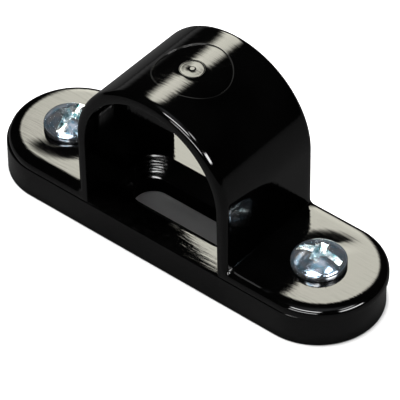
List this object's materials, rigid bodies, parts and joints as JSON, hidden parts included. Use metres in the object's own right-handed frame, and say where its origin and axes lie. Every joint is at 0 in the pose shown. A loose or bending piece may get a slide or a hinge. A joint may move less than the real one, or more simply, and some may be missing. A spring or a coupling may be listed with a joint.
{
  "type": "conduit saddle",
  "caption": "Spacer-bar saddle for round conduit: a countersunk slotted bar with half-round ends and an arched cover screwed down onto it through both feet.",
  "frame": {"origin": "on the wall plane, under the middle of the part", "axes": "+X along the bar, +Y along the conduit, +Z away from the wall"},
  "size_m": [0.0684, 0.0202, 0.0319],
  "materials": {
    "black_plastic": "gloss moulded",
    "zinc_plate": "bright zinc plate",
    "brass": "turned"
  },
  "bodies": {
    "bar": {"spacer_base": "black_plastic", "insert_left": "brass", "insert_right": "brass"},
    "saddle": {"saddle": "black_plastic"},
    "screw_left": {"screw_left": "zinc_plate"},
    "screw_right": {"screw_right": "zinc_plate"}
  },
  "joints": [
    {"name": "saddle_lift", "type": "slide", "parent": "bar", "child": "saddle", "axis": [0, 0, 1], "range_m": [0, 0.012]},
    {"name": "screw_left_turn", "type": "hinge", "parent": "saddle", "child": "screw_left", "pos_m": [-0.02435, 0, 0.0071], "axis": [0, 0, 1], "continuous": true},
    {"name": "screw_right_turn", "type": "hinge", "parent": "saddle", "child": "screw_right", "pos_m": [0.02385, 0, 0.0071], "axis": [0, 0, 1], "continuous": true}
  ]
}
